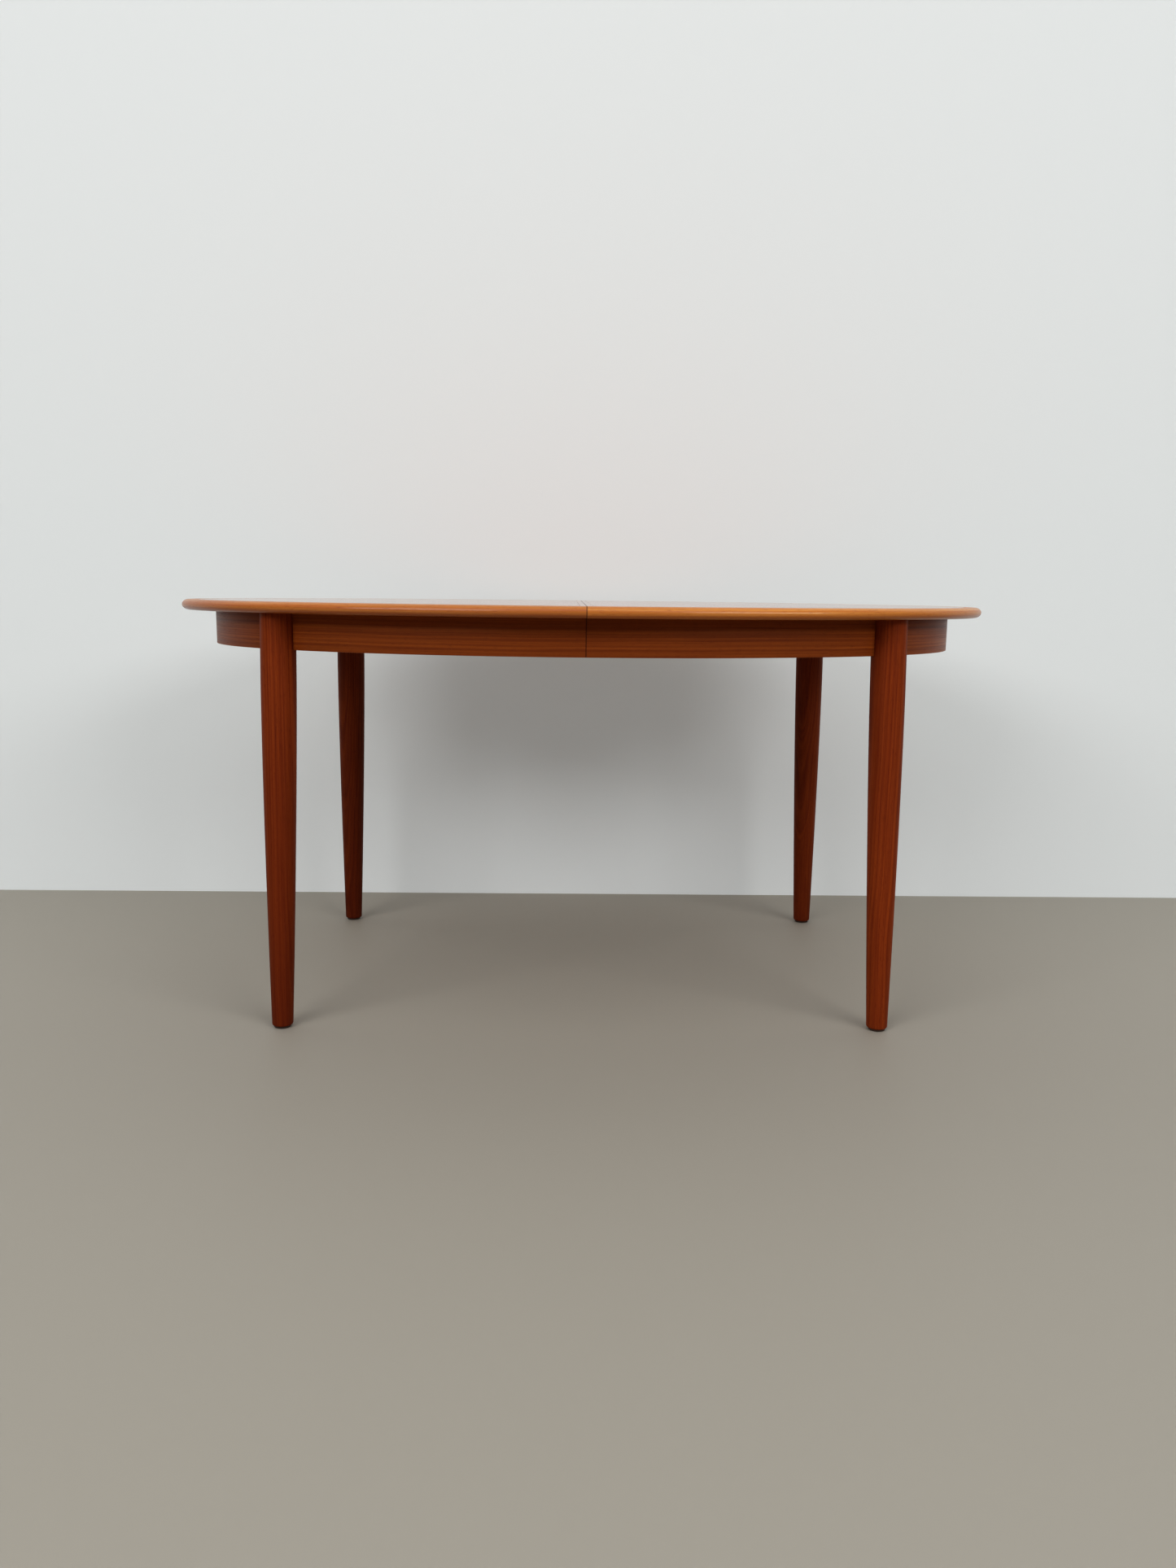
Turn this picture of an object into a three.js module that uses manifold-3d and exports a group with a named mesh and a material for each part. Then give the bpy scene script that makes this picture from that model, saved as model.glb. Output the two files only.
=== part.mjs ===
// Oval extension dining table: the top and the apron are split across the middle, and each
// half stands on its own two legs. Three-part wooden runners join the halves, so that the
// right half pulls away along +X to make room for two loose leaves.
// Millimetres, +Z up, +X along the table, origin on the floor under the middle of the top.
// "left" is -X, "right" is +X, "front" is -Y and "back" is +Y.
import * as THREE from "three";
import { mergeVertices } from "three/addons/utils/BufferGeometryUtils.js";
import Module from "manifold-3d";

const wasm = await Module();
wasm.setup();

// ---- driving dimensions ----
const LENGTH = 1503;
const WIDTH = 1042;
const HEIGHT = 730.5;
const TOP_THICKNESS = 18.5;
const OVERHANG = 59; // from the apron's outer face to the edge of the top
const APRON_HEIGHT = 61;
const APRON_THICKNESS = 18;
const LEG_ANGLE = (43 * Math.PI) / 180; // where a leg stands round the apron's ellipse
const LEG_OUT = 5; // from the apron's outer face out to the leg's axis, under the top
const LEG_DIAMETER = 58.4;
const FOOT_DIAMETER = 35.6;
const LEG_SPLAY = 18.6; // how far the foot stands outside the leg's top
const TRAVEL = 1000; // of the right half: two 500 mm leaves
const FIT = 0.3; // gap between glued or resting pieces
const PAST = 5; // how far a cutting solid runs past the face that it opens

// ---- the top ----
const A = LENGTH / 2;
const B = WIDTH / 2;
const UNDERSIDE = HEIGHT - TOP_THICKNESS;
const BAND_WIDTH = 30; // solid edge band round the veneered panel
const NOSE_DEPTH = 12; // horizontal half-axis of the rounded edge
const SEAM_GAP = 0.25; // each half stops this far from the middle
const STRIP_WIDTH = 10; // solid strip along the meeting edge
const STRIP_HALF_LENGTH = B - BAND_WIDTH - 0.5;
const DOWEL_RADIUS = 4;
const DOWEL_OUT = 14; // how far a dowel stands out of the right half
const DOWEL_IN = 26;
const DOWEL_Y = [150, 420];
const DOWEL_Z = HEIGHT - TOP_THICKNESS / 2;

// ---- apron ----
const APRON_A = A - OVERHANG - APRON_THICKNESS / 2; // middle of the apron's thickness
const APRON_B = B - OVERHANG - APRON_THICKNESS / 2;
const APRON_BOTTOM = UNDERSIDE - APRON_HEIGHT;
// The way out from the apron at the leg, which is also the way that the leg leans.
const LEG_WAY = new THREE.Vector2(Math.cos(LEG_ANGLE) / APRON_A, Math.sin(LEG_ANGLE) / APRON_B).normalize();
const LEG_TURN = LEG_WAY.angle();
const LEG_CENTRE = new THREE.Vector2(APRON_A * Math.cos(LEG_ANGLE), APRON_B * Math.sin(LEG_ANGLE))
  .addScaledVector(LEG_WAY, APRON_THICKNESS / 2 + LEG_OUT);

// ---- legs ----
const GLIDE_THICKNESS = 4;
const GLIDE_RADIUS = 14.5;
const GLIDE_EASE = 1.2;
const TAPER_START = 600; // height where the leg begins to narrow towards the foot
const TAPER_POWER = 1.47;
const FOOT_ROUND = 3.5;
const LEG_FLAT = LEG_OUT + APRON_THICKNESS + 1.5; // from the leg's axis to the flat, just inside the apron
const BLOCK_HALF_WIDTH = 74;
const BLOCK_BACK = 56; // from the leg's axis to the block's inner face
const BLOCK_CHAMFER = 20;
const BLOCK_HALF_ARC = 0.22; // radians of the apron's ellipse, to each side of the leg
const BLOCK_BOTTOM = APRON_BOTTOM + 5;
const FLAT_BOTTOM = BLOCK_BOTTOM - 3;
const BOLT_HEIGHTS = { lower: UNDERSIDE - 42, upper: UNDERSIDE - 16 };
const BOLT_RADIUS = 4;
const BOLT_HEAD_RADIUS = 7.5; // over the hexagon's corners
const BOLT_HEAD_HEIGHT = 5.5;
const WASHER_RADIUS = 11;
const WASHER_THICKNESS = 1.6;
const BOLT_DEPTH = 6; // how far past the leg's axis a bolt reaches

// ---- runners, side by side in lanes on each side of the middle ----
const BAR_WIDTH = 22;
const BAR_HEIGHT = 34;
const BAR_TOP = UNDERSIDE - 0.5;
const BAR_BOTTOM = BAR_TOP - BAR_HEIGHT;
const LANE_GAP = 1;
const LANE_INNER = 157; // centre of the right bar's lane
const LANE_MIDDLE = LANE_INNER + BAR_WIDTH + LANE_GAP;
const LANE_OUTER = LANE_MIDDLE + BAR_WIDTH + LANE_GAP;
const BAR_FAR = 560; // a fixed bar's end under its own half
const BAR_NEAR = 470; // its end under the other half
const GROOVE_STOP = 450; // the groove ends here, which stops the tongue
const GROOVE_DEPTH = 8;
const GROOVE_HEIGHT = 9.8;
const TONGUE_DEPTH = 7;
const TONGUE_HEIGHT = 9;
const MIDDLE_BAR_END = 540;
const TONGUE_START = TRAVEL / 2 - GROOVE_STOP;
const BAR_MIDDLE_Z = (BAR_TOP + BAR_BOTTOM) / 2;

// ---- cross rails ----
const RAIL_X = 160;
const RAIL_THICKNESS = 20;
const RAIL_BOTTOM = APRON_BOTTOM + 3;
const NOTCH_IN = LANE_INNER - BAR_WIDTH / 2 - 2;
const NOTCH_OUT = LANE_OUTER + BAR_WIDTH / 2 + 2;
const NOTCH_BOTTOM = BAR_BOTTOM - 1.5;

// ---- runner screws ----
const SCREW_X = { inner: 70, outer: 480 };
const SCREW_RADIUS = 2.5;
const SCREW_HEAD_RADIUS = 4.6;
const SCREW_HOLE = 2.9;
const SCREW_HEAD_HEIGHT = 3.4;
const SCREW_SUNK = 1; // the head lies this far inside the bar's lower face
const SCREW_TIP = UNDERSIDE + 12;
const SCREW_OFFSET = 4; // from the bar's middle, away from its groove
const SLOT_HALF_WIDTH = 0.6;
const SLOT_REACH = 2.6;
const SLOT_DEPTH = 1.5;

// ---- latches between the halves ----
const LATCH_Y = 330;
const PIVOT_X = -38;
const KEEPER_X = 26;
const HOOK_REACH = KEEPER_X - PIVOT_X;
const HOOK_THICKNESS = 4;
const PLATE_THICKNESS = 2;
const HOOK_TOP = UNDERSIDE - PLATE_THICKNESS - 1;
const HOOK_BOTTOM = HOOK_TOP - HOOK_THICKNESS;
const LATCH_PIN_RADIUS = 4;
const HUB_RADIUS = 13;
const HUB_SPREAD = 0.55; // radians from the arm's middle to where the hub's round begins
const HANDLE_LENGTH = 62;
const HANDLE_HALF_WIDTH = 7;

// ---- materials ----
const teak = new THREE.MeshStandardMaterial({ color: 0x8a3a14, roughness: 0.45 });
const edgeTeak = new THREE.MeshStandardMaterial({ color: 0xb5672a, roughness: 0.4 });
const legTeak = new THREE.MeshStandardMaterial({ color: 0x74290f, roughness: 0.45 });
const beech = new THREE.MeshStandardMaterial({ color: 0xc9a06c, roughness: 0.65 });
const steel = new THREE.MeshStandardMaterial({ color: 0xa9abad, roughness: 0.35, metalness: 1 });
const brass = new THREE.MeshStandardMaterial({ color: 0xb08d4c, roughness: 0.35, metalness: 1 });
const glidePlastic = new THREE.MeshStandardMaterial({ color: 0x2c1c14, roughness: 0.6 });

// ---- solids ----
// A closed geometry as a manifold-3d solid.
function solidOf(geometry) {
  const bare = geometry.index ? geometry.toNonIndexed() : geometry.clone();
  bare.deleteAttribute("normal");
  bare.deleteAttribute("uv");
  const merged = mergeVertices(bare, 1e-3);
  return new wasm.Manifold(
    new wasm.Mesh({
      numProp: 3,
      vertProperties: merged.attributes.position.array,
      triVerts: new Uint32Array(merged.index.array),
    }),
  );
}

function geometryOf(solid) {
  const mesh = solid.getMesh();
  const geometry = new THREE.BufferGeometry();
  geometry.setAttribute("position", new THREE.BufferAttribute(mesh.vertProperties, 3));
  geometry.setIndex(new THREE.BufferAttribute(mesh.triVerts, 1));
  geometry.computeVertexNormals();
  return geometry;
}

function cut(geometry, ...tools) {
  return geometryOf(tools.reduce((rest, tool) => rest.subtract(solidOf(tool)), solidOf(geometry)));
}

function join(...geometries) {
  return geometryOf(geometries.map(solidOf).reduce((whole, piece) => whole.add(piece)));
}

// A box from its lowest and highest corners.
function boxBetween(low, high) {
  const size = high.map((value, axis) => value - low[axis]);
  const middle = high.map((value, axis) => (value + low[axis]) / 2);
  return new THREE.BoxGeometry(...size).translate(...middle);
}

function cylinderAlongX(radius, fromX, toX, y, z, sides = 20) {
  return new THREE.CylinderGeometry(radius, radius, toX - fromX, sides)
    .rotateZ(Math.PI / 2)
    .translate((fromX + toX) / 2, y, z);
}

function cylinderAlongZ(radius, fromZ, toZ, x, y, sides = 20) {
  return new THREE.CylinderGeometry(radius, radius, toZ - fromZ, sides)
    .rotateX(Math.PI / 2)
    .translate(x, y, (fromZ + toZ) / 2);
}

// A solid of revolution about +Z from [radius, height] pairs that run upwards.
function turned(profile, sides) {
  const points = profile.map(([radius, height]) => new THREE.Vector2(radius, height));
  return new THREE.LatheGeometry(points, sides).rotateX(Math.PI / 2);
}

// A flat outline in the XY plane, extruded between two heights.
function slab(shape, fromZ, toZ) {
  return new THREE.ExtrudeGeometry(shape, { depth: toZ - fromZ, bevelEnabled: false }).translate(0, 0, fromZ);
}

// An arc of the ellipse with half-axes a and b, between two parameter angles.
class EllipseArc extends THREE.Curve {
  constructor(a, b, from, to) {
    super();
    Object.assign(this, { a, b, from, to });
  }

  getPoint(share, target = new THREE.Vector3()) {
    const angle = this.from + (this.to - this.from) * share;
    return target.set(this.a * Math.cos(angle), this.b * Math.sin(angle), 0);
  }
}

// A section of [inward, height] pairs swept along an anticlockwise arc in the XY plane.
function swept(section, arc, steps) {
  const shape = new THREE.Shape(section.map(([inward, height]) => new THREE.Vector2(-height, inward)));
  return new THREE.ExtrudeGeometry(shape, { steps, bevelEnabled: false, extrudePath: arc });
}

// The point on the curve parallel to an ellipse, a given distance inside it.
function insideEllipse(a, b, angle, inset) {
  const normal = new THREE.Vector2(Math.cos(angle) / a, Math.sin(angle) / b).normalize();
  return new THREE.Vector2(a * Math.cos(angle), b * Math.sin(angle)).addScaledVector(normal, -inset);
}

function named(name, geometry, material) {
  const mesh = new THREE.Mesh(geometry, material);
  mesh.name = name;
  return mesh;
}

// ---- the halves of the top, drawn for the right half ----
// A section swept round the half's curved edge, from seam to seam.
function sweptRoundEdge(section) {
  const start = Math.acos(SEAM_GAP / A);
  return swept(section, new EllipseArc(A, B, -start, start), 40);
}

function edgeBand() {
  const noseHalf = TOP_THICKNESS / 2;
  const noseSteps = 8;
  const section = [[BAND_WIDTH, UNDERSIDE]];
  for (let i = 0; i <= noseSteps; i += 1) {
    const angle = -Math.PI / 2 + (Math.PI * i) / noseSteps;
    section.push([NOSE_DEPTH * (1 - Math.cos(angle)), UNDERSIDE + noseHalf * (1 + Math.sin(angle))]);
  }
  section.push([BAND_WIDTH, HEIGHT]);
  return sweptRoundEdge(section);
}

function topPanel(dowelReach) {
  const outline = new THREE.Shape().absellipse(0, 0, A, B, -Math.PI / 2, Math.PI / 2, false);
  const board = slab(outline, UNDERSIDE, HEIGHT);
  const low = UNDERSIDE - PAST;
  const high = HEIGHT + PAST;
  const inside = BAND_WIDTH + FIT;
  const bandRoom = sweptRoundEdge([[inside, low], [-PAST, low], [-PAST, high], [inside, high]]);
  const stripRoom = boxBetween([-PAST, -B, low], [SEAM_GAP + STRIP_WIDTH + FIT, B, high]);
  return cut(board, bandRoom, stripRoom, ...dowelHoles(dowelReach));
}

function dowelHoles(reach) {
  return [-1, 1].flatMap((side) =>
    DOWEL_Y.map((y) => cylinderAlongX(DOWEL_RADIUS + FIT, -PAST, reach, side * y, DOWEL_Z)),
  );
}

// A dowel with eased ends, along +X from inside one half to inside the other.
function dowel() {
  const ease = 1.2;
  const profile = [
    [0, -DOWEL_OUT],
    [DOWEL_RADIUS - ease, -DOWEL_OUT],
    [DOWEL_RADIUS, ease - DOWEL_OUT],
    [DOWEL_RADIUS, DOWEL_IN - ease],
    [DOWEL_RADIUS - ease, DOWEL_IN],
    [0, DOWEL_IN],
  ];
  return turned(profile, 24).rotateY(Math.PI / 2);
}

function seamStrip() {
  const strip = boxBetween(
    [SEAM_GAP, -STRIP_HALF_LENGTH, UNDERSIDE],
    [SEAM_GAP + STRIP_WIDTH, STRIP_HALF_LENGTH, HEIGHT],
  );
  return cut(strip, ...dowelHoles(SEAM_GAP + STRIP_WIDTH + PAST));
}

// The screws' holes in a panel, on both sides of the middle.
function screwHoles(lane) {
  const top = SCREW_TIP + 1;
  return [-1, 1].flatMap((side) =>
    Object.values(SCREW_X).map((x) => cylinderAlongZ(SCREW_HOLE, UNDERSIDE - PAST, top, x, side * lane, 12)),
  );
}

// ---- apron, drawn for the right half and cut round the legs ----
function legEnvelope(ySign = 1) {
  const room = cylinderAlongZ(LEG_DIAMETER / 2 + FIT, APRON_BOTTOM - PAST, UNDERSIDE + PAST, 0, 0, 32);
  return splayed(room).rotateZ(ySign * LEG_TURN).translate(LEG_CENTRE.x, ySign * LEG_CENTRE.y, 0);
}

const apronSection = [
  [-APRON_THICKNESS / 2, APRON_BOTTOM],
  [-APRON_THICKNESS / 2, UNDERSIDE - FIT],
  [APRON_THICKNESS / 2, UNDERSIDE - FIT],
  [APRON_THICKNESS / 2, APRON_BOTTOM],
];

// The long side piece, from the leg to the middle of the table, in the +X +Y quarter.
function apronSide() {
  const seam = Math.acos(SEAM_GAP / APRON_A);
  return cut(swept(apronSection, new EllipseArc(APRON_A, APRON_B, LEG_ANGLE, seam), 14), legEnvelope());
}

// The curved end piece, between the two legs of the +X half.
function apronEnd() {
  const arc = new EllipseArc(APRON_A, APRON_B, -LEG_ANGLE, LEG_ANGLE);
  return cut(swept(apronSection, arc, 26), legEnvelope(1), legEnvelope(-1));
}

// ---- legs, in a frame with +X pointing outwards and the origin under the leg's top ----
function splayed(geometry) {
  const lean = LEG_SPLAY / UNDERSIDE;
  const shear = new THREE.Matrix4().set(1, 0, -lean, LEG_SPLAY, 0, 1, 0, 0, 0, 0, 1, 0, 0, 0, 0, 1);
  return geometry.applyMatrix4(shear);
}

function legRadius(height) {
  const down = Math.max(0, 1 - height / TAPER_START);
  return LEG_DIAMETER / 2 - ((LEG_DIAMETER - FOOT_DIAMETER) / 2) * down ** TAPER_POWER;
}

function boltHoles(reach) {
  const start = -BLOCK_BACK - PAST;
  return Object.values(BOLT_HEIGHTS).map((z) => cylinderAlongX(BOLT_RADIUS + 0.4, start, reach, 0, z, 12));
}

function leg() {
  const bottom = GLIDE_THICKNESS;
  const profile = [[0, bottom]];
  const roundSteps = 3;
  for (let i = 0; i <= roundSteps; i += 1) {
    const angle = ((Math.PI / 2) * i) / roundSteps;
    const radius = legRadius(bottom + FOOT_ROUND) - FOOT_ROUND * (1 - Math.sin(angle));
    profile.push([radius, bottom + FOOT_ROUND * (1 - Math.cos(angle))]);
  }
  const taperSteps = 8;
  for (let i = 1; i <= taperSteps; i += 1) {
    const height = bottom + FOOT_ROUND + ((TAPER_START - bottom - FOOT_ROUND) * i) / taperSteps;
    profile.push([legRadius(height), height]);
  }
  profile.push([LEG_DIAMETER / 2, UNDERSIDE - FIT], [0, UNDERSIDE - FIT]);
  const flat = boxBetween([-LEG_DIAMETER, -LEG_DIAMETER, FLAT_BOTTOM], [-LEG_FLAT, LEG_DIAMETER, HEIGHT]);
  const body = cut(turned(profile, 24), flat, ...boltHoles(BOLT_DEPTH + 2));
  return splayed(body);
}

function glide() {
  const profile = [
    [0, 0],
    [GLIDE_RADIUS - GLIDE_EASE, 0],
    [GLIDE_RADIUS, GLIDE_EASE],
    [GLIDE_RADIUS, GLIDE_THICKNESS - GLIDE_EASE],
    [GLIDE_RADIUS - GLIDE_EASE, GLIDE_THICKNESS - FIT],
    [0, GLIDE_THICKNESS - FIT],
  ];
  return splayed(turned(profile, 20));
}

// The glued block that the leg is bolted to. Its outer face follows the apron's inner face.
function legBlock() {
  const toLegFrame = (point) =>
    point.clone().sub(LEG_CENTRE).rotateAround(new THREE.Vector2(), -LEG_TURN);
  const outerSteps = 12;
  const outer = [];
  for (let i = 0; i <= outerSteps; i += 1) {
    const angle = LEG_ANGLE + BLOCK_HALF_ARC * ((2 * i) / outerSteps - 1);
    outer.push(toLegFrame(insideEllipse(APRON_A, APRON_B, angle, APRON_THICKNESS / 2 + 0.6)));
  }
  const within = outer.filter((point) => Math.abs(point.y) < BLOCK_HALF_WIDTH);
  const outline = [
    new THREE.Vector2(-BLOCK_BACK + BLOCK_CHAMFER, -BLOCK_HALF_WIDTH),
    ...within,
    new THREE.Vector2(-BLOCK_BACK + BLOCK_CHAMFER, BLOCK_HALF_WIDTH),
    new THREE.Vector2(-BLOCK_BACK, BLOCK_HALF_WIDTH - BLOCK_CHAMFER),
    new THREE.Vector2(-BLOCK_BACK, -BLOCK_HALF_WIDTH + BLOCK_CHAMFER),
  ];
  const block = slab(new THREE.Shape(outline), BLOCK_BOTTOM, UNDERSIDE - FIT);
  const seatHalf = LEG_DIAMETER / 2 + 1;
  const seat = boxBetween(
    [-LEG_FLAT - FIT, -seatHalf, BLOCK_BOTTOM - PAST],
    [LEG_DIAMETER, seatHalf, HEIGHT],
  );
  return cut(block, splayed(seat), ...boltHoles(LEG_DIAMETER));
}

// A hexagon bolt with its washer face, pointing along +X from the block into the leg.
function legBolt() {
  const seat = -BLOCK_BACK - FIT;
  const washerBack = seat - WASHER_THICKNESS;
  const sunk = 0.2; // the pieces run this far into each other, so that they join
  const shank = cylinderAlongX(BOLT_RADIUS, seat - sunk, BOLT_DEPTH, 0, 0, 16);
  const washer = cylinderAlongX(WASHER_RADIUS, washerBack, seat, 0, 0, 32);
  const head = cylinderAlongX(BOLT_HEAD_RADIUS, washerBack - BOLT_HEAD_HEIGHT, washerBack + sunk, 0, 0, 6);
  return join(shank, washer, head);
}

// ---- cross rail, drawn at +X ----
function crossRail() {
  const farFace = RAIL_X + RAIL_THICKNESS / 2;
  const innerA = APRON_A - APRON_THICKNESS / 2;
  const innerB = APRON_B - APRON_THICKNESS / 2;
  const end = innerB * Math.sqrt(1 - (farFace / innerA) ** 2) - 1;
  const top = UNDERSIDE - FIT;
  const outline = [
    [-end, RAIL_BOTTOM],
    [end, RAIL_BOTTOM],
    [end, top],
    [NOTCH_OUT, top],
    [NOTCH_OUT, NOTCH_BOTTOM],
    [NOTCH_IN, NOTCH_BOTTOM],
    [NOTCH_IN, top],
    [-NOTCH_IN, top],
    [-NOTCH_IN, NOTCH_BOTTOM],
    [-NOTCH_OUT, NOTCH_BOTTOM],
    [-NOTCH_OUT, top],
    [-end, top],
  ];
  const shape = new THREE.Shape(outline.map(([y, z]) => new THREE.Vector2(y, z)));
  const board = new THREE.ExtrudeGeometry(shape, { depth: RAIL_THICKNESS, bevelEnabled: false });
  // The outline's axes become Y and Z, and the depth becomes X.
  const standUp = new THREE.Matrix4().makeBasis(
    new THREE.Vector3(0, 1, 0),
    new THREE.Vector3(0, 0, 1),
    new THREE.Vector3(1, 0, 0),
  );
  return board.applyMatrix4(standUp).translate(RAIL_X - RAIL_THICKNESS / 2, 0, 0);
}

// ---- runners, drawn for the back (+Y) pair ----
// A fixed bar of the right half. grooveSide is +1 where the groove faces away from the middle.
function fixedBar(lane, grooveSide) {
  const bar = boxBetween(
    [-BAR_NEAR, lane - BAR_WIDTH / 2, BAR_BOTTOM],
    [BAR_FAR, lane + BAR_WIDTH / 2, BAR_TOP],
  );
  const face = lane + (grooveSide * BAR_WIDTH) / 2;
  const floor = face - grooveSide * GROOVE_DEPTH;
  const beyond = face + grooveSide * PAST;
  const groove = boxBetween(
    [-GROOVE_STOP - FIT, Math.min(beyond, floor), BAR_MIDDLE_Z - GROOVE_HEIGHT / 2],
    [BAR_FAR + PAST, Math.max(beyond, floor), BAR_MIDDLE_Z + GROOVE_HEIGHT / 2],
  );
  const screwLane = lane - grooveSide * SCREW_OFFSET;
  const holes = Object.values(SCREW_X).map((x) =>
    cylinderAlongZ(SCREW_HOLE, BAR_BOTTOM - PAST, BAR_TOP + PAST, x, screwLane, 12),
  );
  const sinkTop = BAR_BOTTOM + SCREW_SUNK + SCREW_HEAD_HEIGHT + 0.6;
  const sinks = Object.values(SCREW_X).map((x) =>
    cylinderAlongZ(SCREW_HEAD_RADIUS + 0.6, BAR_BOTTOM - PAST, sinkTop, x, screwLane, 12),
  );
  return cut(bar, groove, ...holes, ...sinks);
}

function middleBar() {
  const half = BAR_WIDTH / 2;
  const bar = boxBetween(
    [-MIDDLE_BAR_END, LANE_MIDDLE - half, BAR_BOTTOM + 1],
    [MIDDLE_BAR_END, LANE_MIDDLE + half, BAR_TOP - 1],
  );
  const reach = half + LANE_GAP + TONGUE_DEPTH;
  const low = BAR_MIDDLE_Z - TONGUE_HEIGHT / 2;
  const high = BAR_MIDDLE_Z + TONGUE_HEIGHT / 2;
  const towardsMiddle = boxBetween(
    [TONGUE_START, LANE_MIDDLE - reach, low],
    [MIDDLE_BAR_END, LANE_MIDDLE, high],
  );
  const awayFromMiddle = boxBetween(
    [-MIDDLE_BAR_END, LANE_MIDDLE, low],
    [-TONGUE_START, LANE_MIDDLE + reach, high],
  );
  return join(bar, towardsMiddle, awayFromMiddle);
}

// A countersunk wood screw, its head down, with a cross cut in it.
function runnerScrew() {
  const bottom = BAR_BOTTOM + SCREW_SUNK;
  const profile = [
    [0, bottom],
    [SCREW_HEAD_RADIUS, bottom],
    [SCREW_HEAD_RADIUS, bottom + 0.6],
    [SCREW_RADIUS, bottom + SCREW_HEAD_HEIGHT],
    [SCREW_RADIUS, SCREW_TIP - 6],
    [0.4, SCREW_TIP],
    [0, SCREW_TIP],
  ];
  const slotTop = bottom + SLOT_DEPTH;
  const slot = (halfX, halfY) => boxBetween([-halfX, -halfY, bottom - PAST], [halfX, halfY, slotTop]);
  return cut(turned(profile, 20), slot(SLOT_REACH, SLOT_HALF_WIDTH), slot(SLOT_HALF_WIDTH, SLOT_REACH));
}

// ---- latches, in a frame with the origin at the pivot's axis ----
function latchPlate() {
  const plate = boxBetween([-34, -24, UNDERSIDE - PLATE_THICKNESS], [26, 24, UNDERSIDE - FIT]);
  return cut(plate, cylinderAlongZ(LATCH_PIN_RADIUS + FIT, HOOK_TOP, UNDERSIDE + 1, 0, 0, 16));
}

function latchPin() {
  const profile = [
    [0, HOOK_BOTTOM - 3],
    [6, HOOK_BOTTOM - 3],
    [7.5, HOOK_BOTTOM - 1.6],
    [7.5, HOOK_BOTTOM - 0.4],
    [LATCH_PIN_RADIUS, HOOK_BOTTOM - 0.4],
    [LATCH_PIN_RADIUS, UNDERSIDE - FIT],
    [0, UNDERSIDE - FIT],
  ];
  return turned(profile, 28);
}

// The hook points along +X when it holds the keeper. Its slot is an arc about the pivot,
// open on the -Y side, so that the keeper's post enters as the hook swings towards -Y.
function latchHook() {
  const slotHalf = LATCH_PIN_RADIUS + 0.8;
  const headHalf = 13;
  const outer = HOOK_REACH + headHalf;
  const inner = HOOK_REACH - headHalf;
  const heelAngle = 0.3;
  const mouthAngle = -0.14;
  const slotEnd = 0.09;
  const at = (radius, angle) => [radius * Math.cos(angle), radius * Math.sin(angle)];
  const shape = new THREE.Shape();
  shape.moveTo(...at(HUB_RADIUS, -HUB_SPREAD));
  shape.lineTo(...at(inner, -0.1));
  shape.lineTo(...at(inner, mouthAngle));
  shape.lineTo(...at(HOOK_REACH - slotHalf, mouthAngle));
  shape.absarc(0, 0, HOOK_REACH - slotHalf, mouthAngle, slotEnd, false);
  shape.absarc(0, 0, HOOK_REACH + slotHalf, slotEnd, mouthAngle, true);
  shape.lineTo(...at(outer, mouthAngle));
  shape.absarc(0, 0, outer, mouthAngle, heelAngle, false);
  shape.lineTo(...at(inner, heelAngle));
  shape.lineTo(...at(HUB_RADIUS, HUB_SPREAD));
  shape.absarc(0, 0, HUB_RADIUS, HUB_SPREAD, Math.PI - HUB_SPREAD, false);
  const handleEnd = HANDLE_HALF_WIDTH - HANDLE_LENGTH;
  shape.lineTo(handleEnd, HANDLE_HALF_WIDTH);
  shape.absarc(handleEnd, 0, HANDLE_HALF_WIDTH, Math.PI / 2, (3 * Math.PI) / 2, false);
  shape.lineTo(...at(HUB_RADIUS, Math.PI + HUB_SPREAD));
  shape.absarc(0, 0, HUB_RADIUS, Math.PI + HUB_SPREAD, 2 * Math.PI - HUB_SPREAD, false);
  const plate = new THREE.ExtrudeGeometry(shape, {
    depth: HOOK_THICKNESS,
    bevelEnabled: false,
    curveSegments: 12,
  }).translate(0, 0, HOOK_BOTTOM);
  const eye = cylinderAlongZ(LATCH_PIN_RADIUS + 0.35, HOOK_BOTTOM - PAST, HOOK_TOP + PAST, 0, 0, 16);
  return cut(plate, eye);
}

function latchKeeper() {
  const plate = boxBetween([-14, -20, UNDERSIDE - PLATE_THICKNESS], [22, 20, UNDERSIDE - FIT]);
  const profile = [
    [0, HOOK_BOTTOM - 2.6],
    [5.5, HOOK_BOTTOM - 2.6],
    [6.5, HOOK_BOTTOM - 1.6],
    [6.5, HOOK_BOTTOM - 0.6],
    [LATCH_PIN_RADIUS, HOOK_BOTTOM - 0.6],
    [LATCH_PIN_RADIUS, UNDERSIDE - 1],
    [0, UNDERSIDE - 1],
  ];
  return join(plate, turned(profile, 28));
}

// ---- assembly ----
const table = new THREE.Group();
const ENDS = { left: -1, right: 1 };
const SIDES = { front: -1, back: 1 };

// A group that mirrors what is drawn for +X and +Y into one end or corner of the table.
function mirrored(xSign, ySign = 1) {
  const group = new THREE.Group();
  group.scale.set(xSign, ySign, 1);
  table.add(group);
  return group;
}

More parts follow.
